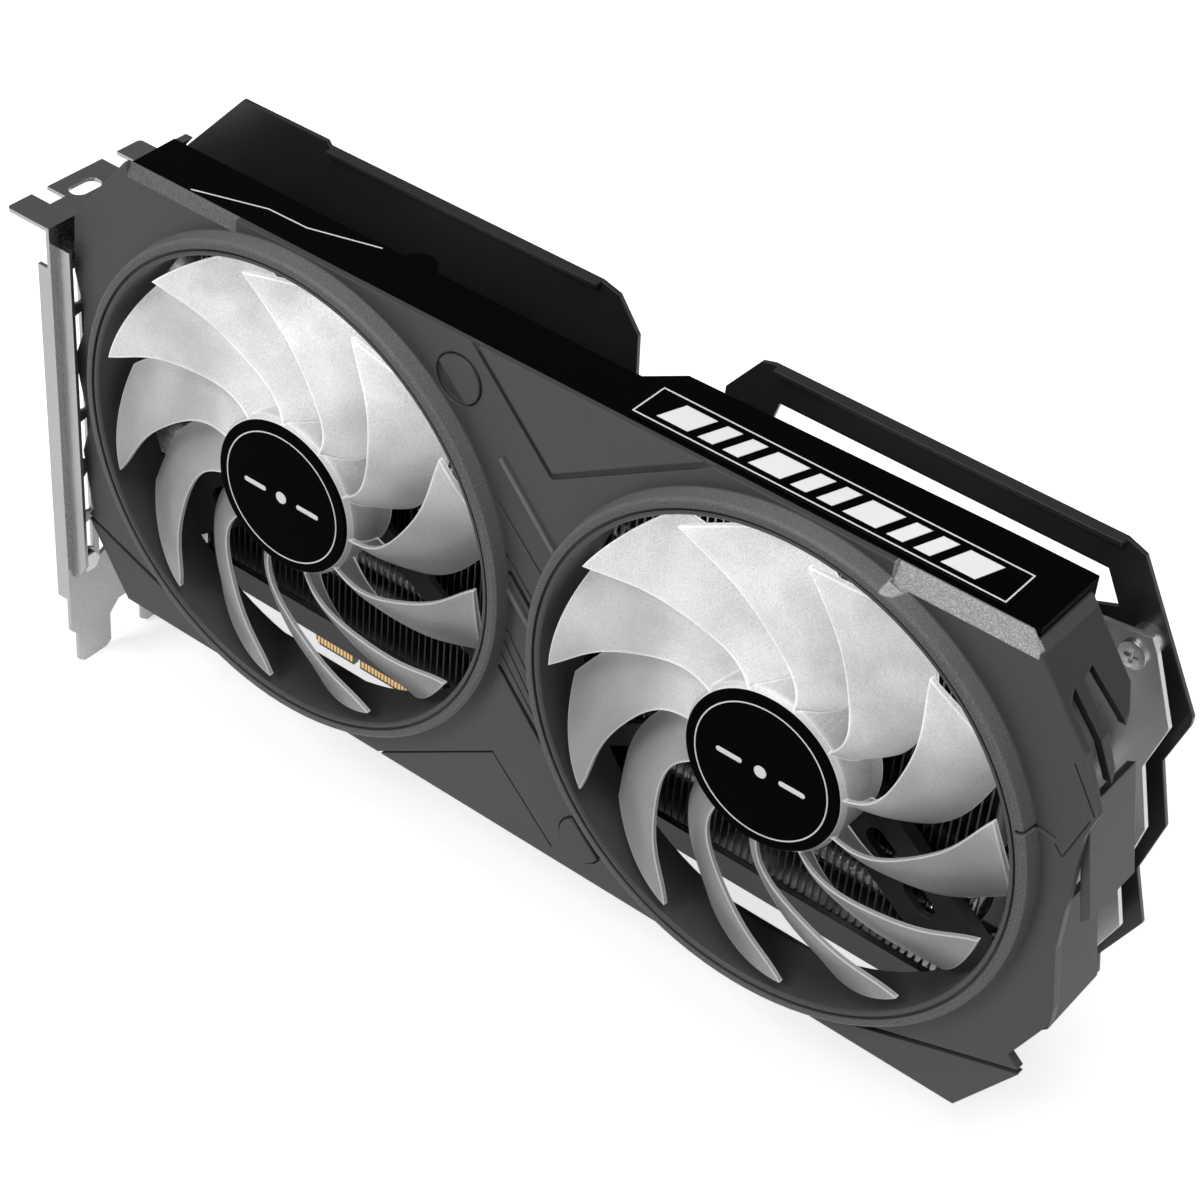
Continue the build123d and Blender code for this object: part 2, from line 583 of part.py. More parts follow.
BOARD = [
    (BOARD_LEFT, BOARD_BOTTOM), (FINGER_LEFT, BOARD_BOTTOM), (FINGER_LEFT, 1.2),
    (FINGER_LEFT + 1.2, 0.0), (-KEY_WIDTH / 2, 0.0), (-KEY_WIDTH / 2, BOARD_BOTTOM - 0.6),
    (KEY_WIDTH / 2, BOARD_BOTTOM - 0.6), (KEY_WIDTH / 2, 0.0), (FINGER_RIGHT - 1.2, 0.0),
    (FINGER_RIGHT, 1.2), (FINGER_RIGHT, 6.4), (76.4, 6.4), (76.4, 1.6), (82.6, 1.6),
    (82.6, BOARD_BOTTOM), (BOARD_RIGHT, BOARD_BOTTOM), (BOARD_RIGHT, BOARD_TOP),
    (BOARD_LEFT, BOARD_TOP),
]
with BuildPart() as pcb:
    with BuildSketch(front(BOARD_FRONT)):
        outline(BOARD)
        with Locations(*COOLER_SCREWS):
            Circle(SCREW_SHANK + 2 * SCREW_FIT, mode=Mode.SUBTRACT)
        with Locations(*BACKPLATE_SCREWS):
            Circle(SCREW_SHANK + 2 * SCREW_FIT, mode=Mode.SUBTRACT)
    extrude(amount=-BOARD_THICKNESS)
save(pcb.part, "pcb")

with BuildPart() as pcie_contacts:
    contact_x = [-KEY_WIDTH / 2 - 0.8 - CONTACT_PITCH * n for n in range(11)]
    contact_x += [KEY_WIDTH / 2 + 0.8 + CONTACT_PITCH * n for n in range(71)]
    for depth, amount in ((BOARD_FRONT, CONTACT_THICKNESS), (-BOARD_FRONT, -CONTACT_THICKNESS)):
        with BuildSketch(front(depth)):
            with Locations(*[(x, 3.4) for x in contact_x]):
                Rectangle(CONTACT_WIDTH, 5.6)
        extrude(amount=amount)
save(pcie_contacts.part, "pcie_contacts")


def chips(places, width, height, depth_front, depth_back, soften):
    """Row of equal rectangular packages standing on the board."""
    with BuildPart() as group:
        with BuildSketch(front(depth_front)):
            with Locations(*places):
                Rectangle(width, height)
        extrude(amount=-(depth_front - depth_back))
        if soften:
            chamfer(group.edges().group_by(Axis.Y)[0], soften)
    return group.part


DIE_SIZE = 13.0
PACKAGE_FRONT = 2.0
DIE_FRONT = 2.8
COLD_PLATE_BACK = 2.9
MEMORY_FRONT = 1.9
MOSFET_FRONT = 1.8
MEMORY_PLACES = [(x, GPU_Z + dz) for x in (-14.0, 56.0) for dz in (-11.0, 11.0)]
INDUCTOR_PLACES = [(72.0, z) for z in (28.0, 38.0, 48.0, 58.0, 68.0, 78.0)]
MOSFET_PLACES = [(82.0, z) for _, z in INDUCTOR_PLACES]
CAPACITOR_PLACES = [(90.0, z) for _, z in INDUCTOR_PLACES]

# each package: its places, size along X and Z, front, back, and chamfer of the front edges
PACKAGES = {
    "gpu_package": ([(GPU_X, GPU_Z)], 38.0, 38.0, PACKAGE_FRONT, BOARD_FRONT, 0.0),
    "gpu_die": ([(GPU_X, GPU_Z)], DIE_SIZE, DIE_SIZE, DIE_FRONT, PACKAGE_FRONT, 0.0),
    "thermal_paste": ([(GPU_X, GPU_Z)], DIE_SIZE, DIE_SIZE, COLD_PLATE_BACK, DIE_FRONT, 0.0),
    "memory_chips": (MEMORY_PLACES, 12.0, 14.0, MEMORY_FRONT, BOARD_FRONT, 0.15),
    "memory_pads": (MEMORY_PLACES, 11.0, 13.0, PLATE_BACK, MEMORY_FRONT, 0.0),
    "inductors": (INDUCTOR_PLACES, 7.0, 7.0, 4.8, BOARD_FRONT, 0.6),
    "mosfets": (MOSFET_PLACES, 5.0, 6.0, MOSFET_FRONT, BOARD_FRONT, 0.15),
    "mosfet_pads": (MOSFET_PLACES, 4.6, 5.6, PLATE_BACK, MOSFET_FRONT, 0.0),
    "capacitors": (CAPACITOR_PLACES, 4.3, 7.3, 2.8, BOARD_FRONT, 0.3),
}
for name, package in PACKAGES.items():
    save(chips(*package), name)

# ---------------------------------------------------------------- sockets
POWER_X = 76.7
POWER_WIDTH = 19.6
POWER_BOTTOM = 97.0
POWER_TOP = 111.0
POWER_HEIGHT = 9.6
PIN_PITCH = 4.2
PIN_ROWS = (3.4, 7.6)
CAVITY = 3.5
PIN_COLUMNS = [POWER_X + PIN_PITCH * (n - 1.5) for n in range(4)]

with BuildPart() as power_connector:
    with BuildSketch(Plane.XY.offset(POWER_BOTTOM)):
        with Locations((POWER_X, -BOARD_FRONT - POWER_HEIGHT / 2)):
            Rectangle(POWER_WIDTH, POWER_HEIGHT)
    extrude(amount=POWER_TOP - POWER_BOTTOM)
    with BuildSketch(Plane.XY.offset(POWER_TOP)):
        with Locations(*[(x, -BOARD_FRONT - row + 0.7) for x in PIN_COLUMNS for row in PIN_ROWS]):
            Rectangle(CAVITY, CAVITY)
    extrude(amount=-11.0, mode=Mode.SUBTRACT)
save(power_connector.part, "power_connector")

with BuildPart() as power_pins:
    with BuildSketch(Plane.XY.offset(POWER_TOP - 11.0)):
        with Locations(*[(x, -BOARD_FRONT - row + 0.7) for x in PIN_COLUMNS for row in PIN_ROWS]):
            Rectangle(1.1, 1.1)
    extrude(amount=8.0)
save(power_pins.part, "power_pins")

for kind, places in PORT_Z.items():
    length, height = PORT_LENGTH[kind], PORT_HEIGHT[kind]
    with BuildPart() as shell:
        with BuildSketch(Plane.YZ.offset(BRACKET_X - SHEET - SHELL_LIP)):
            with Locations(*[(-PORT_DEPTH, z) for z in places]):
                RectangleRounded(height, length, 0.6)
        extrude(amount=SHELL_REACH)
        with BuildSketch(Plane.YZ.offset(BRACKET_X - SHEET - SHELL_LIP)):
            with Locations(*[(-PORT_DEPTH, z) for z in places]):
                RectangleRounded(height - 2 * SHELL, length - 2 * SHELL, 0.4)
        extrude(amount=SHELL_REACH - SHELL_END, mode=Mode.SUBTRACT)
    save(shell.part, f"{kind}_shells")

with BuildPart() as port_tongues:
    for kind, places in PORT_Z.items():
        with BuildSketch(Plane.YZ.offset(BRACKET_X + TONGUE_SETBACK)):
            with Locations(*[(-PORT_DEPTH, z) for z in places]):
                Rectangle(1.3, PORT_LENGTH[kind] - 4.6)
        extrude(amount=SHELL_REACH - SHELL_END - SHEET - SHELL_LIP - TONGUE_SETBACK)
save(port_tongues.part, "port_tongues")

HEADER_PLACES = [(-36.5, 97.0), (102.0, 30.0)]
with BuildPart() as fan_headers:
    with BuildSketch(front(BOARD_FRONT)):
        with Locations(*HEADER_PLACES):
            Rectangle(5.0, 10.0)
    extrude(amount=2.2)
    with BuildSketch(front(BOARD_FRONT + 2.2)):
        with Locations(*HEADER_PLACES):
            Rectangle(3.4, 8.4)
    extrude(amount=-1.6, mode=Mode.SUBTRACT)
save(fan_headers.part, "fan_headers")

# ---------------------------------------------------------------- heatsink
PIPE_ROW_DEPTH = 8.02        # pipes lying on the cold plate
PIPE_RETURN_DEPTH = 13.6     # the same pipes coming back through the front of the fins
PIPE_PITCH = 7.5
PIPE_RISE = 14.0
COLD_PLATE_SIZE = 46.0
FRAME_LEFT = -38.0
FRAME_RIGHT = 160.0
FRAME_BOTTOM = 7.2
FRAME_TOP = 95.0
LIP_THICKNESS = 0.3
LIP_HEIGHT = 1.6

# each pipe: height of its row, height of its return, and which end the bend is at
PIPES = [
    (GPU_Z - 1.5 * PIPE_PITCH, GPU_Z - 1.5 * PIPE_PITCH - PIPE_RISE, "tail"),
    (GPU_Z - 0.5 * PIPE_PITCH, GPU_Z - 0.5 * PIPE_PITCH - PIPE_RISE, "bracket"),
    (GPU_Z + 0.5 * PIPE_PITCH, GPU_Z + 0.5 * PIPE_PITCH + PIPE_RISE, "bracket"),
    (GPU_Z + 1.5 * PIPE_PITCH, GPU_Z + 1.5 * PIPE_PITCH + PIPE_RISE, "tail"),
]

# each run: X of the sealed ends, X where the bend starts, and the way the bend points
PIPE_RUNS = {"tail": (-33.0, 171.4, 1), "bracket": (168.4, -30.4, -1)}

with BuildPart() as heat_pipes:
    for row_z, return_z, bend in PIPES:
        inner, outer, way = PIPE_RUNS[bend]
        row = Vector(outer, -PIPE_ROW_DEPTH, row_z)
        back = Vector(outer, -PIPE_RETURN_DEPTH, return_z)
        middle = (row + back) * 0.5 + Vector(way * (row - back).length / 2, 0, 0)
        with BuildLine():
            Line((inner, -PIPE_ROW_DEPTH, row_z), row)
            ThreePointArc(row, middle, back)
            Line(back, (inner, -PIPE_RETURN_DEPTH, return_z))
        with BuildSketch(Plane(origin=(inner, -PIPE_ROW_DEPTH, row_z), z_dir=(way, 0, 0))):
            Circle(PIPE_RADIUS)
        sweep()
save(heat_pipes.part, "heat_pipes")

FIN_PLACES = [FIN_LEFT + FIN_PITCH * n for n in range(FIN_COUNT)]
FIN_MID = (FIN_PLACES[0] + FIN_PLACES[-1]) / 2
FIN_HEIGHT = FIN_TOP - FIN_BOTTOM
with BuildPart() as fin_stack:
    with BuildSketch(Plane.XY.offset(FIN_BOTTOM)):
        with Locations(*[(x, -(FIN_FRONT + FIN_BACK) / 2) for x in FIN_PLACES]):
            Rectangle(FIN_THICKNESS, FIN_FRONT - FIN_BACK)
    extrude(amount=FIN_HEIGHT)
    # folded lips that lock each fin to the next
    for low in (FIN_BOTTOM, FIN_TOP - LIP_HEIGHT):
        with BuildSketch(Plane.XY.offset(low)):
            with Locations((FIN_MID, -FIN_BACK - LIP_THICKNESS / 2)):
                Rectangle(FIN_PLACES[-1] - FIN_PLACES[0], LIP_THICKNESS)
            with Locations((FIN_MID, -FIN_FRONT + LIP_THICKNESS / 2)):
                Rectangle(FIN_PLACES[-1] - FIN_PLACES[0], LIP_THICKNESS)
        extrude(amount=LIP_HEIGHT)
    # seats for the pipes
    with BuildSketch(Plane.YZ.offset(FIN_PLACES[0] - 1.0)):
        for row_z, return_z, _ in PIPES:
            with Locations((-PIPE_ROW_DEPTH, row_z), (-PIPE_RETURN_DEPTH, return_z)):
                Circle(PIPE_RADIUS + PIPE_FIT)
            with Locations((-PIPE_ROW_DEPTH + PIPE_RADIUS, row_z)):
                Rectangle(2 * PIPE_RADIUS, 2 * (PIPE_RADIUS + PIPE_FIT))
    extrude(amount=FIN_PLACES[-1] - FIN_PLACES[0] + 2.0, mode=Mode.SUBTRACT)
    # room for the power socket
    with BuildSketch(front(POWER_HEIGHT + BOARD_FRONT + 0.6)):
        with Locations((POWER_X, FIN_TOP)):
            Rectangle(POWER_WIDTH + 6.0, 2 * (FIN_TOP - POWER_BOTTOM + 2.0))
    extrude(amount=-12.0, mode=Mode.SUBTRACT)
save(fin_stack.part, "fin_stack")

with BuildPart() as cold_plate:
    with BuildSketch(front(FIN_BACK)):
        with Locations((GPU_X, GPU_Z)):
            RectangleRounded(COLD_PLATE_SIZE, COLD_PLATE_SIZE, 2.0)
    extrude(amount=-(FIN_BACK - COLD_PLATE_BACK))
save(cold_plate.part, "cold_plate")

with BuildPart() as heatsink_frame:
    with BuildSketch(front(FIN_BACK)):
        outline([
            (FRAME_LEFT, FRAME_BOTTOM), (FRAME_RIGHT, FRAME_BOTTOM), (FRAME_RIGHT, FRAME_TOP),
            (FRAME_LEFT, FRAME_TOP),
        ])
        with Locations((GPU_X, GPU_Z)):
            RectangleRounded(COLD_PLATE_SIZE + 3.0, COLD_PLATE_SIZE + 3.0, 2.0, mode=Mode.SUBTRACT)
        with Locations((INDUCTOR_PLACES[0][0], (INDUCTOR_PLACES[0][1] + INDUCTOR_PLACES[-1][1]) / 2)):
            Rectangle(10.0, 62.0, mode=Mode.SUBTRACT)
        # air passages past the end of the board
        with Locations(*[(x, 52.0) for x in (122.0, 136.0, 150.0)]):
            Rectangle(11.0, 74.0, mode=Mode.SUBTRACT)
        with Locations((-34.0, 22.0), *COOLER_SCREWS):
            Circle(SCREW_SHANK, mode=Mode.SUBTRACT)
    extrude(amount=-(FIN_BACK - PLATE_BACK))
    # standoffs for the cooler screws
    with BuildSketch(front(PLATE_BACK)):
        with Locations(*COOLER_SCREWS):
            Circle(2.6)
            Circle(SCREW_SHANK, mode=Mode.SUBTRACT)
    extrude(amount=-(PLATE_BACK - BOARD_FRONT))
save(heatsink_frame.part, "heatsink_frame")

# ---------------------------------------------------------------- clamp and fasteners
SPRING_FRONT = -1.6
SPRING_THICKNESS = 0.8
EYE_RADIUS = 4.0
HEAD_RADIUS = 2.4

with BuildPart() as leaf_spring:
    with BuildSketch(front(SPRING_FRONT)):
        stroke(COOLER_SCREWS[0], COOLER_SCREWS[3], 6.0)
        stroke(COOLER_SCREWS[1], COOLER_SCREWS[2], 6.0)
        with Locations((GPU_X, GPU_Z)):
            Circle(11.0)
            Circle(6.0, mode=Mode.SUBTRACT)
        with Locations(*COOLER_SCREWS):
            Circle(EYE_RADIUS)
            Circle(SCREW_SHANK + SCREW_FIT, mode=Mode.SUBTRACT)
    extrude(amount=-SPRING_THICKNESS)
save(leaf_spring.part, "leaf_spring")


def screws(places, head_depth, head_height, shank_end, head_radius=HEAD_RADIUS):
    """Screws driven from behind: heads behind head_depth, shanks running forward."""
    with BuildPart() as group:
        for place in places:
            with BuildSketch(front(head_depth)):
                with Locations(place):
                    Circle(head_radius)
            extrude(amount=-head_height)
        fillet(group.edges().group_by(Axis.Y)[-1], head_height * 0.4)
        for place in places:
            with BuildSketch(front(head_depth - head_height)):
                with Locations(place):
                    Rectangle(head_radius * 1.3, head_radius * 0.36)
                    Rectangle(head_radius * 0.36, head_radius * 1.3)
            extrude(amount=head_height * 0.5, mode=Mode.SUBTRACT)
            with BuildSketch(front(head_depth)):
                with Locations(place):
                    Circle(SCREW_SHANK)
            extrude(amount=shank_end - head_depth)
    return group.part


BACKPLATE_BACK = BACKPLATE_DEPTH - BACKPLATE_THICKNESS
save(screws(COOLER_SCREWS, SPRING_FRONT - SPRING_THICKNESS, 2.0, 4.2, 3.0), "cooler_screws")
save(screws(BACKPLATE_SCREWS, BACKPLATE_BACK, 1.0, BOARD_FRONT), "backplate_screws")
save(screws(END_SCREWS[1:], BACKPLATE_BACK, 1.0, END_PLATE_DEPTH), "end_screws")

with BuildPart() as tail_screw:
    with BuildSketch(front(END_PLATE_DEPTH + 0.7)):
        with Locations(END_SCREWS[0]):
            Circle(2.9)
    extrude(amount=-0.7)
    with BuildSketch(front(END_PLATE_DEPTH + 0.7)):
        with Locations(END_SCREWS[0]):
            Rectangle(3.2, 0.8)
            Rectangle(0.8, 3.2)
    extrude(amount=-0.4, mode=Mode.SUBTRACT)
    with BuildSketch(front(END_PLATE_DEPTH)):
        with Locations(END_SCREWS[0]):
            Circle(SCREW_SHANK)
    extrude(amount=-(END_PLATE_DEPTH - BACKPLATE_BACK))
save(tail_screw.part, "tail_screw")

with BuildPart() as board_spacers:
    with BuildSketch(front(-BOARD_FRONT)):
        with Locations(*BACKPLATE_SCREWS):
            RegularPolygon(2.6, 6)
            Circle(SCREW_SHANK + SCREW_FIT / 2, mode=Mode.SUBTRACT)
    extrude(amount=-(-BOARD_FRONT - BACKPLATE_DEPTH))
save(board_spacers.part, "board_spacers")

FAN_SCREW_PLACES = [place for side in FAN_X for place in arm_ends(side)]
save(screws(FAN_SCREW_PLACES, BASE_BACK, 1.1, DUCT_DEPTH + FAN_SCREW_REACH - 0.6), "fan_screws")

# ---------------------------------------------------------------- fan bases and motors
BASE_RADIUS = 16.0
TUBE_RADIUS = 4.0
BEARING_RADIUS = 3.0
TUBE_FRONT = 30.0
ARM_SLOTS = (26.0, 38.4)
ARM_SLOT_LENGTH = 8.5
ARM_SLOT_WIDTH = 4.5
FLANGE_DEPTH = 17.6


def in_sight(side, angle):
    """Local frame of an arm in the active sketch: x runs outwards along the arm."""
    return Location((FAN_X[side], FAN_Z, 0), (0, 0, angle))


for side in FAN_X:
    broad, *thin = [ARM_ANGLE[side] + turn for turn in ARM_TURN[side]]
    flange_side = 1 if side == "right" else -1
    with BuildPart() as base:
        with BuildSketch(front(DUCT_DEPTH)):
            with Locations((FAN_X[side], FAN_Z)):
                Circle(BASE_RADIUS)
            with Locations(in_sight(side, broad)):
                outline([(8.0, -8.0), (ARM_REACH, -7.0), (ARM_REACH, 7.0), (8.0, 8.0)])
                with Locations((ARM_REACH, 0)):
                    Circle(BOSS_RADIUS + 0.6)
                with Locations(*[(reach, 0) for reach in ARM_SLOTS]):
                    SlotOverall(ARM_SLOT_LENGTH, ARM_SLOT_WIDTH, mode=Mode.SUBTRACT)
            for angle in thin:
                with Locations(in_sight(side, angle)):
                    outline([(8.0, -3.2), (ARM_REACH, -2.4), (ARM_REACH, 2.4), (8.0, 3.2)])
                    with Locations((ARM_REACH, 0)):
                        Circle(BOSS_RADIUS)
            with Locations(*arm_ends(side)):
                Circle(SCREW_SHANK, mode=Mode.SUBTRACT)
        extrude(amount=-(DUCT_DEPTH - BASE_BACK))
        # stiffening flange along the upper edge of the broad arm
        with BuildSketch(front(BASE_BACK)):
            with Locations(in_sight(side, broad)):
                outline([
                    (14.0, flange_side * 7.9), (ARM_REACH, flange_side * 7.0),
                    (ARM_REACH, flange_side * 5.8), (14.0, flange_side * 6.7),
                ])
        extrude(amount=-(BASE_BACK - FLANGE_DEPTH))
        # bearing tube
        with BuildSketch(front(DUCT_DEPTH)):
            with Locations((FAN_X[side], FAN_Z)):
                Circle(TUBE_RADIUS)
                Circle(BEARING_RADIUS, mode=Mode.SUBTRACT)
        extrude(amount=TUBE_FRONT - DUCT_DEPTH)
    save(base.part, f"fan_{side}_base")


def rings(bands):
    """Ring about each fan axis for every (inner radius, outer radius, front, back)."""
    with BuildPart() as group:
        for inner, outer, front_depth, back_depth in bands:
            with BuildSketch(front(front_depth)):
                with Locations(*[(x, FAN_Z) for x in FAN_X.values()]):
                    Circle(outer)
                    Circle(inner, mode=Mode.SUBTRACT)
            extrude(amount=-(front_depth - back_depth))
    return group.part


TEETH = 6
CORE_FRONT = 30.5
CORE_BACK = 24.5
COIL_BUILD = 0.9
COIL_RADIUS = 9.2
COIL_LENGTH = 4.6
TOOTH_WIDTH = 2.4
BOARD_RING_BACK = 21.7
BOARD_RING_FRONT = 22.5
LED_RADIUS = 12.4

save(rings([(SHAFT_RADIUS + BEARING_CLEARANCE, BEARING_RADIUS, 29.8, 21.0)]), "fan_bearings")
save(rings([(TUBE_RADIUS + 1.0, 14.0, BOARD_RING_FRONT, BOARD_RING_BACK)]), "fan_boards")

with BuildPart() as stator_cores:
    with BuildSketch(front(CORE_FRONT)):
        for x in FAN_X.values():
            with Locations((x, FAN_Z)):
                Circle(6.2)
                with PolarLocations(9.0, TEETH):
                    Rectangle(8.0, TOOTH_WIDTH)
                with PolarLocations(12.6, TEETH):
                    Rectangle(1.6, 8.6)
                Circle(TUBE_RADIUS, mode=Mode.SUBTRACT)
    extrude(amount=-(CORE_FRONT - CORE_BACK))
save(stator_cores.part, "fan_stator_cores")

with BuildPart() as stator_coils:
    for build, mode in ((COIL_BUILD, Mode.ADD), (0.0, Mode.SUBTRACT)):
        with BuildSketch(front(CORE_FRONT + build)):
            for x in FAN_X.values():
                with Locations((x, FAN_Z)):
                    with PolarLocations(COIL_RADIUS, TEETH):
                        Rectangle(COIL_LENGTH, TOOTH_WIDTH + 2 * build)
        extrude(amount=-(CORE_FRONT - CORE_BACK + 2 * build), mode=mode)
save(stator_coils.part, "fan_stator_coils")

with BuildPart() as fan_leds:
    with BuildSketch(front(BOARD_RING_FRONT)):
        for x in FAN_X.values():
            with Locations((x, FAN_Z)):
                with PolarLocations(LED_RADIUS, 8):
                    Rectangle(1.4, 1.8)
    extrude(amount=0.6)
save(fan_leds.part, "fan_leds")

# ---------------------------------------------------------------- rotors
ROOT_TRIM = HUB_RADIUS - HUB_WALL / 2
EDGE_THICKNESS = 1.1
CAMBER = 1.6
BELLY = 0.7
HUB_CHAMFER = 0.8
MAGNET_THICKNESS = 1.7
MAGNET_FRONT = 31.5
MAGNET_LENGTH = 8.0
CAP_CHAMFER = 0.3
RING_RADIUS = 15.2
RING_WIDTH = 0.3
BAR_OFFSET = 7.2
PRINT_HEIGHT = 0.05
SHAFT_BACK = 21.4

# each station: radius of the leading edge, its angle behind the tip, half the width along the
# direction of turning, and the depths of the leading and trailing edges
BLADE_STATIONS = [
    (15.0, -46.5, 2.4, 34.0, 23.6),
    (20.0, -41.5, 3.3, 34.2, 23.8),
    (25.0, -36.0, 4.8, 34.4, 24.2),
    (29.5, -28.0, 6.6, 34.6, 24.6),
    (34.0, -20.5, 8.2, 34.6, 24.8),
    (39.0, -13.5, 9.4, 34.6, 25.0),
    (44.5, -6.0, 10.4, 34.6, 25.2),
    (50.0, 0.0, 11.2, 34.6, 25.4),
    (54.6, 4.5, 11.8, 34.6, 25.6),
]

with BuildPart() as blade:
    for radius, lead, half_width, lead_depth, trail_depth in BLADE_STATIONS:
        reach = sqrt(radius**2 - half_width**2)
        turn = radians(lead) - atan2(half_width, reach)
        section = Plane(
            origin=(reach * cos(turn), 0, reach * sin(turn)),
            x_dir=(-sin(turn), 0, cos(turn)), z_dir=(cos(turn), 0, sin(turn)),
        )
        middle = (lead_depth + trail_depth) / 2
        with BuildSketch(section):
            with BuildLine():
                ThreePointArc(
                    (-half_width, trail_depth + EDGE_THICKNESS), (0, middle + CAMBER + BELLY),
                    (half_width, lead_depth),
                )
                Line((half_width, lead_depth), (half_width, lead_depth - EDGE_THICKNESS))
                ThreePointArc(
                    (half_width, lead_depth - EDGE_THICKNESS), (0, middle + CAMBER - BELLY),
                    (-half_width, trail_depth),
                )
                Line((-half_width, trail_depth), (-half_width, trail_depth + EDGE_THICKNESS))
            make_face()
    loft()
    with BuildSketch(front(RIM_DEPTH)):
        Circle(BLADE_TIP_RADIUS)
        Circle(ROOT_TRIM, mode=Mode.SUBTRACT)
    extrude(amount=-(RIM_DEPTH - DUCT_DEPTH), mode=Mode.INTERSECT)

for side, fan_x in FAN_X.items():
    with BuildPart() as rotor:
        with BuildSketch(turning_plane(fan_x)):
            outline([
                (HUB_RADIUS, -HUB_BACK), (HUB_RADIUS, -HUB_FRONT + HUB_CHAMFER),
                (HUB_RADIUS - HUB_CHAMFER, -HUB_FRONT), (SHAFT_RADIUS, -HUB_FRONT),
                (SHAFT_RADIUS, -CORE_FRONT), (BEARING_RADIUS, -CORE_FRONT),
                (BEARING_RADIUS, -HUB_FRONT + HUB_WALL),
                (HUB_RADIUS - HUB_WALL, -HUB_FRONT + HUB_WALL), (HUB_RADIUS - HUB_WALL, -HUB_BACK),
            ])
        revolve(axis=fan_axis(fan_x))
        with Locations((fan_x, 0, FAN_Z)):
            for index in range(BLADE_COUNT):
                angle = BLADE_PHASE[side] + index * 360.0 / BLADE_COUNT
                add(blade.part, rotation=(0, -angle, 0))
    save(rotor.part, f"fan_{side}_rotor")

    with BuildPart() as cap:
        with BuildSketch(turning_plane(fan_x)):
            outline([
                (0, -HUB_FRONT), (CAP_RADIUS, -HUB_FRONT), (CAP_RADIUS, -RIM_DEPTH + CAP_CHAMFER),
                (CAP_RADIUS - CAP_CHAMFER, -RIM_DEPTH), (0, -RIM_DEPTH),
            ])
        revolve(axis=fan_axis(fan_x))
    save(cap.part, f"fan_{side}_cap")

    # thin ring with a plain row of two bars and a dot
    with BuildPart() as marks:
        with BuildSketch(front(RIM_DEPTH)):
            with Locations((fan_x, FAN_Z)):
                Circle(RING_RADIUS)
                Circle(RING_RADIUS - RING_WIDTH, mode=Mode.SUBTRACT)
                with Locations((-BAR_OFFSET, 0), (BAR_OFFSET, 0)):
                    SlotOverall(6.0, 1.2)
                Circle(1.4)
        extrude(amount=PRINT_HEIGHT)
    save(marks.part, f"fan_{side}_cap_marks")

    with BuildPart() as magnet:
        with BuildSketch(front(MAGNET_FRONT)):
            with Locations((fan_x, FAN_Z)):
                Circle(HUB_RADIUS - HUB_WALL)
                Circle(HUB_RADIUS - HUB_WALL - MAGNET_THICKNESS, mode=Mode.SUBTRACT)
        extrude(amount=-MAGNET_LENGTH)
    save(magnet.part, f"fan_{side}_magnet")

    with BuildPart() as shaft:
        with BuildSketch(front(HUB_FRONT)):
            with Locations((fan_x, FAN_Z)):
                Circle(SHAFT_RADIUS)
        extrude(amount=-(HUB_FRONT - SHAFT_BACK))
        chamfer(shaft.edges().group_by(Axis.Y)[-1], 0.3)
    save(shaft.part, f"fan_{side}_shaft")
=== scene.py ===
"""Looks of the dual-fan graphics card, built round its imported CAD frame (metres, row frame)."""
import bpy
import json
from mathutils import Matrix, Vector


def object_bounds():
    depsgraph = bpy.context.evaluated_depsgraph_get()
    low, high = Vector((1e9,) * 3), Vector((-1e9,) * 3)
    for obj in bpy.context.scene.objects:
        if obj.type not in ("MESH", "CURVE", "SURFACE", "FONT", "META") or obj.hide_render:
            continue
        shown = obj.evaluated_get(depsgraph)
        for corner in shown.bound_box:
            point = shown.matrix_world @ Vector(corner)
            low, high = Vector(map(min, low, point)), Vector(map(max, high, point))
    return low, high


MM = 0.001
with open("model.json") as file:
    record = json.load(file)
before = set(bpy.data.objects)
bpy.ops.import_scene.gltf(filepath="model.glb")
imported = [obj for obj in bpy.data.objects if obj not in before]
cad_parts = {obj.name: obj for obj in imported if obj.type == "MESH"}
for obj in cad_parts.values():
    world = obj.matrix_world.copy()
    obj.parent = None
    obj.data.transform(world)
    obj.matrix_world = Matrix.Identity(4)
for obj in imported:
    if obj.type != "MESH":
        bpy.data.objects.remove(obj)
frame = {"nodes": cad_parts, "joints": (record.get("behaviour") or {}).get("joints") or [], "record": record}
cad_bounds = [list(corner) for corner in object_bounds()]
nodes = frame["nodes"]
fan_axes = {joint["child"]: Vector(joint["pos_m"]) for joint in frame["joints"]}


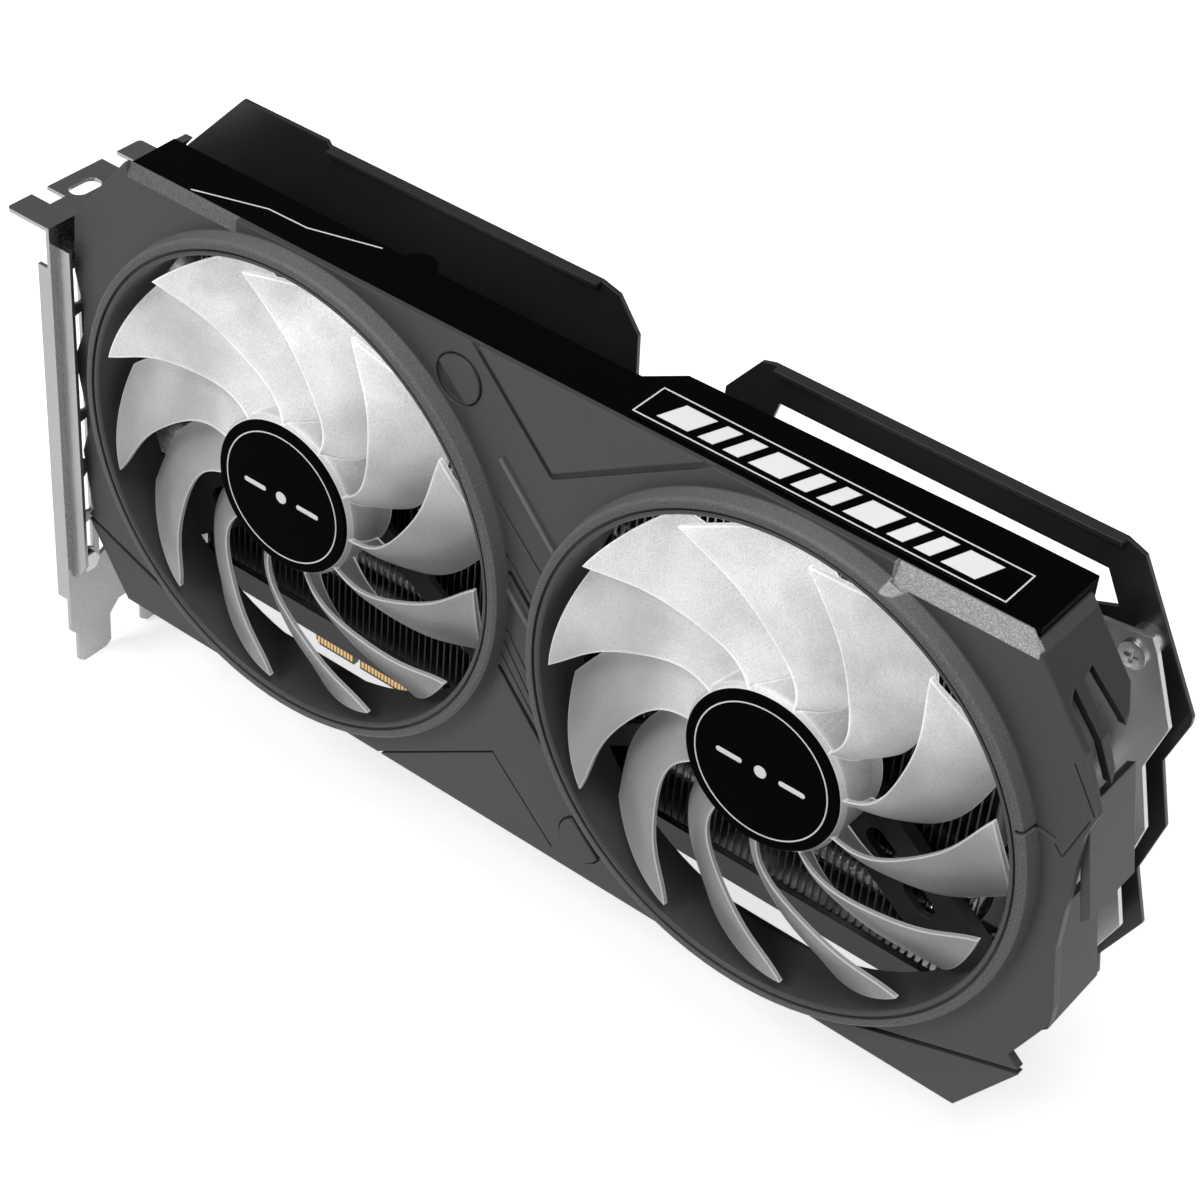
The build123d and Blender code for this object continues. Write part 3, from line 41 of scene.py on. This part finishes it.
# ---------------------------------------------------------------- node helpers
class Shader:
    """A Principled material with the few node patterns that the card's surfaces share."""

    def __init__(self, name, colour, rough, metallic=0.0, **constants):
        self.material = bpy.data.materials.new(name)
        self.material.use_nodes = True
        self.tree = self.material.node_tree
        self.principled = self.tree.nodes["Principled BSDF"]
        self.coords = self.node("ShaderNodeTexCoord").outputs["Object"]
        self.colour = self.constant_colour(colour)
        self.rough = rough
        self.normal = None
        self.height = []
        self.edge_mask = None
        self.principled.inputs["Metallic"].default_value = metallic
        for socket, value in constants.items():
            self.principled.inputs[socket.replace("_", " ")].default_value = value

    def node(self, kind, **settings):
        """New node whose settings are either its sockets' values or its own properties."""
        made = self.tree.nodes.new(kind)
        for key, value in settings.items():
            if key in made.inputs:
                made.inputs[key].default_value = value
            else:
                setattr(made, key, value)
        return made

    def link(self, source, target):
        self.tree.links.new(source, target)

    def constant_colour(self, colour):
        made = self.node("ShaderNodeRGB")
        made.outputs[0].default_value = (*colour, 1.0)
        return made.outputs[0]

    def stretched(self, scale):
        """The object's coordinates, scaled along each axis."""
        mapping = self.node("ShaderNodeMapping")
        mapping.inputs["Scale"].default_value = scale
        self.link(self.coords, mapping.inputs["Vector"])
        return mapping.outputs[0]

    def noise(self, scale, detail=2.0, stretch=None, roughness=0.55):
        made = self.node("ShaderNodeTexNoise", Scale=scale, Detail=detail, Roughness=roughness)
        self.link(self.stretched(stretch) if stretch else self.coords, made.inputs["Vector"])
        return made.outputs["Fac"]

    def ramp(self, source, low, high, out_low=0.0, out_high=1.0, smooth=False):
        """The source mapped from one range to another and held within it."""
        made = self.node("ShaderNodeMapRange", clamp=True)
        if smooth:
            made.interpolation_type = "SMOOTHSTEP"
        made.inputs["From Min"].default_value = low
        made.inputs["From Max"].default_value = high
        made.inputs["To Min"].default_value = out_low
        made.inputs["To Max"].default_value = out_high
        self.link(source, made.inputs["Value"])
        return made.outputs[0]

    def math(self, operation, first, second=None):
        made = self.node("ShaderNodeMath", operation=operation)
        for socket, value in zip(made.inputs, (first, second)):
            if value is None:
                continue
            if isinstance(value, (int, float)):
                socket.default_value = value
            else:
                self.link(value, socket)
        return made.outputs[0]

    def coordinate(self, index):
        """One of the object's own X, Y or Z coordinates, in metres."""
        made = self.node("ShaderNodeSeparateXYZ")
        self.link(self.coords, made.inputs[0])
        return made.outputs[index]

    def distance(self, axis):
        """Distance from a line parallel to Y through a point."""
        offset = self.node("ShaderNodeVectorMath", operation="SUBTRACT")
        self.link(self.coords, offset.inputs[0])
        offset.inputs[1].default_value = axis
        flat = self.node("ShaderNodeVectorMath", operation="MULTIPLY")
        self.link(offset.outputs[0], flat.inputs[0])
        flat.inputs[1].default_value = (1.0, 0.0, 1.0)
        length = self.node("ShaderNodeVectorMath", operation="LENGTH")
        self.link(flat.outputs[0], length.inputs[0])
        return length.outputs["Value"]

    def above(self, source, level, soft=0.1 * MM):
        """1 where the source is higher than a level, with a soft step."""
        return self.ramp(source, level - soft, level + soft)

    def below(self, source, level, soft=0.1 * MM):
        return self.ramp(source, level - soft, level + soft, 1.0, 0.0)

    def both(self, *masks):
        """1 where all the masks are 1."""
        product = masks[0]
        for mask in masks[1:]:
            product = self.math("MULTIPLY", product, mask)
        return product

    def tint(self, mask, colour):
        """Blend the colour so far towards another one where mask is 1."""
        made = self.node("ShaderNodeMix", data_type="RGBA")
        self.link(mask, made.inputs[0])
        self.link(self.colour, made.inputs[6])
        made.inputs[7].default_value = (*colour, 1.0)
        self.colour = made.outputs[2]
        return self

    def mottle(self, scale, amount, colour):
        """Soft patches of a slightly different colour."""
        patches = self.noise(scale, 3.0)
        return self.tint(self.ramp(patches, 0.35, 0.7, 0.0, amount), colour)

    def grain(self, scale, depth, spread=0.0, stretch=None, detail=2.0):
        """Bump of a given scale (per metre) and depth (metres), which also spreads roughness."""
        texture = self.noise(scale, detail, stretch)
        self.height.append((texture, depth))
        if spread:
            base = self.rough if isinstance(self.rough, (int, float)) else 0.0
            self.rough = self.ramp(texture, 0.3, 0.7, base - spread, base + spread)
        return self

    def edges(self, radius, colour, amount, low=0.01, high=0.25):
        """Rounded edges that catch the light, with a lighter tint along them: a painted highlight, and on
        the boards the edge's own colour.
        """
        bevel = self.node("ShaderNodeBevel", Radius=radius)
        bevel.samples = 6
        geometry = self.node("ShaderNodeNewGeometry")
        dot = self.node("ShaderNodeVectorMath", operation="DOT_PRODUCT")
        self.link(bevel.outputs[0], dot.inputs[0])
        self.link(geometry.outputs["Normal"], dot.inputs[1])
        bend = self.math("SUBTRACT", 1.0, dot.outputs["Value"])
        self.normal = bevel.outputs[0]
        self.edge_mask = self.ramp(bend, low, high, 0.0, amount)
        # on most finishes the tint along the edges is a painted highlight
        return self.tint(self.edge_mask, colour)

    def finish(self):
        """Link the colour, roughness and bumps, and return the material."""
        normal = self.normal
        for texture, depth in self.height:
            bump = self.node("ShaderNodeBump", Strength=1.0, Distance=depth)
            self.link(texture, bump.inputs["Height"])
            if normal is not None:
                self.link(normal, bump.inputs["Normal"])
            normal = bump.outputs[0]
        if normal is not None:
            self.link(normal, self.principled.inputs["Normal"])
        self.link(self.colour, self.principled.inputs["Base Color"])
        if isinstance(self.rough, (int, float)):
            self.principled.inputs["Roughness"].default_value = self.rough
        else:
            self.link(self.rough, self.principled.inputs["Roughness"])
        return self.material


def grey(value, warmth=0.0):
    """Linear grey, leaning to red by the warmth or to blue if that is negative."""
    return (value * (1 + warmth), value, value * (1 - warmth))


# ---------------------------------------------------------------- materials
def moulded(name, tone, rough, grain_depth=0.012 * MM, edge_highlight_tone=None, **constants):
    """Injection-moulded plastic with a fine spark-eroded grain."""
    shader = Shader(name, grey(tone, -0.01), rough, **constants)
    shader.mottle(45.0, 0.5, grey(tone * 0.82))
    # painted highlight: a paler tint along the edges
    shader.edges(0.35 * MM, grey(edge_highlight_tone or tone * 2.2), 0.5)
    shader.grain(5200.0, grain_depth, 0.07)
    shader.grain(900.0, grain_depth * 0.6)
    return shader.finish()


def metal(name, colour, rough, brushed=(1.0, 1.0, 1.0), depth=0.004 * MM, metallic=1.0, **constants):
    """Plated or rolled metal with faint scratches along one direction."""
    shader = Shader(name, colour, rough, metallic, **constants)
    shader.mottle(60.0, 0.35, tuple(c * 0.8 for c in colour))
    # painted highlight: a brighter tint along the edges
    shader.edges(0.2 * MM, tuple(min(1.0, c * 1.25) for c in colour), 0.6)
    shader.grain(1200.0, depth, 0.06, stretch=brushed)
    return shader.finish()


# where the shroud's finish and its painted light and shade change, in millimetres in the row frame (fans
# face -Y)
RIM_FROM, RIM_TO = 54.9, 57.6            # ring of blasted finish round each fan
SHOULDER_FROM = 56.1                     # outer slope of that ring, paler as a painted highlight
PROUD_Y = -31.2                          # further forward than the face
TOP_BEVELS = (                           # from, to, lower edge, and how pale: sand-blasted finish and painted highlight
    (147.0, 176.5, 125.4, 5.5), (-38.0, -8.0, 127.0, 1.8),
)
BEVEL_Y = -29.4
# raised bars between the fans; their tops get a painted highlight
BAR_X, BAR_Z, BAR_Y = (60.4, 75.6), (70.0, 109.0), -31.3
BARS_CLEAR_OF_RIM = 57.7
# the tail end behind the face, which gets painted shade
SLATS_X, SLATS_Z, SLATS_Y = 177.0, 98.5, -30.4
WOVEN_Y = -30.9
WOVEN_LEFT = (1.025, 184.3)              # slope and level of the V's sides
WOVEN_RIGHT = (0.603, 65.5)
WEAVE_FREQUENCY = 4200.0                 # radians per metre along each set of ribs


def shroud_material(name, tone):
    """Grained plastic with sand-blasted rims and bevels and a finely woven V between the fans, with painted
    highlights and glints on the rims, bevels and raised bars, and painted shade at the tail end.
    """
    shader = Shader(name, grey(tone, -0.01), 0.46, Specular_IOR_Level=0.32)
    shader.mottle(45.0, 0.5, grey(tone * 0.85))
    x, y, z = (shader.coordinate(index) for index in range(3))
    from_fans = [shader.distance(axis) for axis in fan_axes.values()]
    # fine specks: painted glints on the sand and bevels, which also bump the sand
    glint_specks = shader.ramp(shader.noise(3600.0, 2.0), 0.45, 0.68)
    rims, shoulder_highlights = [], []
    for radius in from_fans:
        proud = shader.both(shader.below(radius, RIM_TO * MM), shader.below(y, PROUD_Y * MM))
        rims.append(shader.both(proud, shader.above(radius, RIM_FROM * MM)))
        shoulder_highlights.append(shader.both(proud, shader.above(radius, SHOULDER_FROM * MM, 0.4 * MM)))
    sand = shader.math("MAXIMUM", *rims)
    # painted highlight on the rims' outer slopes
    shader.tint(shader.math("MAXIMUM", *shoulder_highlights), grey(tone * 2.0))
    # painted glints on the sand-blasted rims
    shader.tint(shader.both(sand, glint_specks), grey(tone * 3.2))
    for start, end, foot, pale in TOP_BEVELS:
        bevel = shader.both(
            shader.above(x, (start - 0.2) * MM), shader.below(x, (end + 0.1) * MM),
            shader.above(z, foot * MM), shader.below(y, BEVEL_Y * MM),
        )
        # bevels paler from their sand-blasted finish and a painted highlight
        shader.tint(bevel, grey(tone * pale))
        # painted glints on the bevels
        shader.tint(shader.both(bevel, glint_specks), grey(tone * pale * 2.0))
    # painted highlight on the tops of the raised bars
    raised_bar_highlight = shader.both(
        shader.below(y, BAR_Y * MM), shader.above(x, BAR_X[0] * MM), shader.below(x, BAR_X[1] * MM),
        shader.above(z, BAR_Z[0] * MM), shader.below(z, BAR_Z[1] * MM),
        *[shader.above(radius, BARS_CLEAR_OF_RIM * MM) for radius in from_fans],
    )
    shader.tint(raised_bar_highlight, grey(tone * 2.6))
    # painted shade on the tail end behind the face
    slat_shade = shader.both(
        shader.above(x, SLATS_X * MM), shader.above(z, SLATS_Z * MM), shader.above(y, SLATS_Y * MM),
    )
    shader.tint(slat_shade, grey(tone * 0.5))
    # woven V: two crossing sets of fine ribs
    weave = shader.math("MULTIPLY", *[
        shader.math("SINE", shader.math("MULTIPLY", shader.math(way, x, z), WEAVE_FREQUENCY))
        for way in ("ADD", "SUBTRACT")
    ])
    left_of_v = shader.math("ADD", z, shader.math("MULTIPLY", x, WOVEN_LEFT[0]))
    right_of_v = shader.math("SUBTRACT", z, shader.math("MULTIPLY", x, WOVEN_RIGHT[0]))
    woven = shader.both(
        shader.above(left_of_v, WOVEN_LEFT[1] * MM), shader.above(right_of_v, WOVEN_RIGHT[1] * MM),
        shader.below(y, WOVEN_Y * MM),
    )
    shader.tint(shader.both(woven, shader.ramp(weave, -0.2, 0.6)), grey(tone * 1.22))
    # painted highlight along the edges
    shader.edges(0.4 * MM, grey(tone * 2.6), 0.6)
    shader.grain(5200.0, 0.014 * MM, 0.07)
    shader.height.append((shader.both(sand, glint_specks), 0.03 * MM))
    return shader.finish()


FIN_EDGE_Y = (-16.6, -13.0)              # from the fins' front edges to where shade begins


def fin_material(name):
    """Aluminium sheet, bright along the edges at the fans and shaded between the fins."""
    shader = Shader(name, (0.62, 0.63, 0.64), 0.36, 1.0)
    depth = shader.coordinate(1)
    shader.mottle(60.0, 0.3, (0.5, 0.5, 0.51))
    shader.tint(shader.ramp(depth, FIN_EDGE_Y[0] * MM, FIN_EDGE_Y[1] * MM, 0.6, 0.97), (0.015, 0.015, 0.016))
    shader.grain(1200.0, 0.006 * MM, 0.06, stretch=(1.0, 1.0, 0.05))
    return shader.finish()


GLOW_FROM, GLOW_TO = 17.0, 32.0          # radii over which the painted glow from the hub fades
GLOW_UP, GLOW_ACROSS = 0.98, 0.2         # direction across the fan in which the painted glow is strongest, towards the key light
DIM_SIDE, BRIGHT_SIDE = -10.0, 45.0      # distances that way over which it grows


def blade_material(name, axis):
    """Frosted plastic with a painted glow, standing in for light from the hub and the key light, and painted
    bright edges.
    """
    shader = Shader(name, (0.54, 0.545, 0.55), 0.34, Transmission_Weight=0.40, IOR=1.35)
    shader.mottle(70.0, 0.5, (0.42, 0.425, 0.43))
    # painted highlight: a near-white tint along the blades' edges
    shader.edges(0.7 * MM, (0.97, 0.975, 0.98), 0.9, 0.01, 0.22)
    radius = shader.distance(axis)
    place = shader.node("ShaderNodeSeparateXYZ")
    shader.link(shader.node("ShaderNodeNewGeometry").outputs["Position"], place.inputs[0])
    upwards = shader.math("MULTIPLY", place.outputs["Z"], GLOW_UP)
    across = shader.math("MULTIPLY", place.outputs["X"], GLOW_ACROSS)
    towards_light = shader.math("SUBTRACT", upwards, across)
    centre = GLOW_UP * axis.z - GLOW_ACROSS * axis.x
    # painted light: brighter on the side towards the key light
    painted_lit_side = shader.ramp(
        towards_light, centre + DIM_SIDE * MM, centre + BRIGHT_SIDE * MM, 0.2, 3.6, smooth=True,
    )
    fading = shader.ramp(radius, GLOW_FROM * MM, GLOW_TO * MM, 0.18, 0.11, smooth=True)
    haze = shader.ramp(shader.noise(45.0, 3.0), 0.35, 0.7, 0.65, 1.3)
    speckle = shader.ramp(shader.noise(3200.0, 3.0), 0.3, 0.7, 0.6, 1.4)
    # painted glow, fading out from the hub and mottled
    glow = shader.both(fading, painted_lit_side, haze, speckle)
    # painted glow along the edges too
    painted_edge_glow = shader.math("MULTIPLY", shader.edge_mask, 0.3)
    shader.principled.inputs["Emission Color"].default_value = (1.0, 1.0, 1.0, 1.0)
    shader.link(shader.math("ADD", glow, painted_edge_glow), shader.principled.inputs["Emission Strength"])
    shader.grain(3800.0, 0.03 * MM, 0.08)
    return shader.finish()


def copper_winding(name):
    """Rows of enamelled wire round each pole."""
    shader = Shader(name, (0.55, 0.22, 0.09), 0.3, 0.9)
    shader.grain(9000.0, 0.05 * MM, 0.05, stretch=(1.0, 1.0, 0.02))
    shader.mottle(300.0, 0.6, (0.3, 0.1, 0.04))
    return shader.finish()


def powder_coat(name, tone, rough):
    """Dark coating, paler along the edges as a painted highlight."""
    shader = Shader(name, grey(tone), rough, 0.0, Specular_IOR_Level=0.5)
    # painted highlight along the edges
    shader.edges(0.3 * MM, grey(tone * 3.5), 0.5)
    shader.mottle(25.0, 0.4, grey(tone * 1.5))
    shader.grain(2600.0, 0.01 * MM, 0.06)
    return shader.finish()


def solder_mask(name, colour):
    """Glossy lacquer with faint raised traces under it."""
    shader = Shader(name, colour, 0.32, Coat_Weight=0.4, Coat_Roughness=0.2)
    traces = shader.node("ShaderNodeTexVoronoi", feature="DISTANCE_TO_EDGE", Scale=420.0)
    shader.link(shader.coords, traces.inputs["Vector"])
    mask = shader.ramp(traces.outputs["Distance"], 0.02, 0.06, 0.35, 0.0)
    shader.tint(mask, tuple(c * 2.4 + 0.01 for c in colour))
    shader.edges(0.15 * MM, (0.22, 0.2, 0.12), 0.8)
    shader.height.append((mask, 0.02 * MM))
    return shader.finish()


MATERIALS = {
    "shroud": shroud_material("shroud_grain", 0.064),
    "trim": moulded("trim_satin", 0.0015, 0.30, 0.003 * MM, 0.012, Specular_IOR_Level=0.02),
    "label": moulded("label_gloss", 0.0012, 0.16, 0.001 * MM, 0.01, Specular_IOR_Level=0.02),
    # white print, with a faint painted glow from its emission
    "print": moulded("white_print_painted_glow", 0.86, 0.4, 0.004 * MM, 0.9, Emission_Strength=0.12,
                     Emission_Color=(1.0, 1.0, 1.0, 1.0)),
    "cap": moulded("cap_gloss", 0.0025, 0.2, 0.001 * MM, 0.01, Specular_IOR_Level=0.004),
    "fan_base": moulded("fan_base", 0.035, 0.42),
    "magnet": moulded("ferrite_ring", 0.06, 0.55),
    "steel": metal("ground_steel", (0.55, 0.55, 0.56), 0.22, (1.0, 30.0, 1.0)),
    "laminations": metal("laminations", (0.34, 0.35, 0.37), 0.4, (1.0, 40.0, 1.0), 0.02 * MM),
    "bronze": metal("sintered_bronze", (0.5, 0.33, 0.15), 0.45, depth=0.02 * MM),
    "winding": copper_winding("windings"),
    "motor_board": solder_mask("motor_board", (0.008, 0.05, 0.025)),
    "led": moulded("led_lens", 0.85, 0.3, 0.003 * MM, 0.9, Emission_Strength=2.0,
                   Emission_Color=(1.0, 1.0, 1.0, 1.0)),
    "bracket": metal("bracket_nickel", (0.37, 0.368, 0.365), 0.26, (0.05, 1.0, 1.0), 0.001 * MM),
    "bracket_rail": metal("rail_nickel", (0.36, 0.36, 0.36), 0.3, (1.0, 1.0, 0.05)),
    "bright_screw": metal("screw_nickel", (0.66, 0.66, 0.66), 0.25, depth=0.006 * MM),
    "backplate": powder_coat("backplate_coat", 0.018, 0.34),
    "end_plate": metal("end_plate_satin", (0.6, 0.61, 0.62), 0.38, (1.0, 1.0, 12.0)),
    "pcb": solder_mask("board_mask", (0.010, 0.012, 0.011)),
    "gold": metal("hard_gold", (0.88, 0.56, 0.24), 0.3, (1.0, 1.0, 0.1)),
    "substrate": solder_mask("substrate", (0.012, 0.07, 0.03)),
    "silicon": metal("silicon", (0.22, 0.23, 0.27), 0.12, metallic=0.8),
    "paste": moulded("thermal_paste", 0.4, 0.6, 0.05 * MM),
    "chip": moulded("chip_epoxy", 0.018, 0.42),
    "thermal_pad": moulded("thermal_pad", 0.36, 0.75, 0.05 * MM),
    "inductor": moulded("iron_powder", 0.07, 0.5, 0.03 * MM),
    "capacitor": moulded("capacitor", 0.09, 0.4),
    "connector": moulded("nylon_black", 0.012, 0.4),
    "header": moulded("nylon_white", 0.6, 0.4),
    "port_shell": metal("port_steel", (0.58, 0.58, 0.57), 0.28, (0.05, 1.0, 1.0)),
    "copper": metal("machined_copper", (0.72, 0.36, 0.22), 0.28, (1.0, 1.0, 20.0)),
    "pipe": metal("plated_pipe", (0.70, 0.69, 0.68), 0.16, (0.1, 1.0, 1.0)),
    "fin": fin_material("fin_aluminium"),
    "frame": metal("cast_frame", (0.055, 0.056, 0.058), 0.5, depth=0.02 * MM, metallic=0.6),
    "black_screw": powder_coat("black_zinc", 0.02, 0.3),
}

for entry in frame["record"]["subparts"]:
    node, slot = entry["node"], entry["material_slot"]
    mesh = nodes[node].data
    mesh.materials.clear()
    if slot == "blade":
        mesh.materials.append(blade_material(f"frost_{node}", fan_axes[node]))
    else:
        mesh.materials.append(MATERIALS[slot])

# ---------------------------------------------------------------- stage, light and camera
low, high = (Vector(corner) for corner in cad_bounds)
middle = (low + high) / 2


FLOOR_SIZE = 12.0
FLOOR_GAP = 0.2 * MM
FLOOR_GLOW = 0.6                         # keeps the paper white where the soft boxes fall off


def floor_sheet(size, level):
    """Plain pale paper under the card, which casts no light of its own on it."""
    mesh = bpy.data.meshes.new("floor")
    half = size / 2
    mesh.from_pydata(
        [(x * half, y * half, level) for x, y in ((-1, -1), (1, -1), (1, 1), (-1, 1))],
        [], [(0, 1, 2, 3)],
    )
    made = bpy.data.objects.new("floor", mesh)
    bpy.context.scene.collection.objects.link(made)
    shader = Shader(
        "floor_paper", (0.92, 0.92, 0.92), 0.7,
        Emission_Color=(1.0, 1.0, 1.0, 1.0), Emission_Strength=FLOOR_GLOW,
    )
    shader.mottle(3.0, 0.1, (0.9, 0.9, 0.9))
    mesh.materials.append(shader.finish())
    made.visible_diffuse = False
    return made


floor_sheet(FLOOR_SIZE, low.z - FLOOR_GAP)


def area_light(name, place, target, side, power):
    """Square soft box aimed at a target."""
    data = bpy.data.lights.new(name, "AREA")
    data.size = side
    data.energy = power
    made = bpy.data.objects.new(name, data)
    made.location = place
    made.rotation_euler = (Vector(target) - Vector(place)).to_track_quat("-Z", "Y").to_euler()
    bpy.context.scene.collection.objects.link(made)
    return made


# name, place, side and power of each soft box, all aimed at the middle of the card
SOFT_BOXES = (
    ("key", (-0.45, -1.35, 1.45), 0.9, 17.5),
    ("fill", (0.9, -0.7, 0.25), 0.8, 0.3),
    ("top", (0.35, -0.25, 1.3), 0.5, 6.0),
    ("rim", (0.9, 0.9, 0.45), 0.5, 0.8),
)
WORLD_STRENGTH = 0.22
LENS = 84.87
CAMERA_PLACE = (0.3223, -0.3731, 0.4283)
CAMERA_RIGHT = (0.7853, 0.6147, 0.0738)
CAMERA_BACK = (0.4386, -0.6365, 0.6344)

for name, place, side, power in SOFT_BOXES:
    area_light(name, place, middle, side, power)

world = bpy.data.worlds.new("studio")
bpy.context.scene.world = world
world.use_nodes = True
background = world.node_tree.nodes["Background"]
background.inputs["Color"].default_value = (1.0, 1.0, 1.0, 1.0)
background.inputs["Strength"].default_value = WORLD_STRENGTH

camera_data = bpy.data.cameras.new("camera")
camera_data.sensor_width = 36.0
camera_data.lens = LENS
camera = bpy.data.objects.new("camera", camera_data)
bpy.context.scene.collection.objects.link(camera)
camera_right = Vector(CAMERA_RIGHT).normalized()
camera_back = Vector(CAMERA_BACK).normalized()
camera_up = camera_back.cross(camera_right).normalized()
rotation = Matrix((camera_right, camera_up, camera_back)).transposed()
camera.matrix_world = Matrix.Translation(CAMERA_PLACE) @ rotation.to_4x4()
bpy.context.scene.camera = camera
bpy.context.scene.view_settings.view_transform = "Standard"
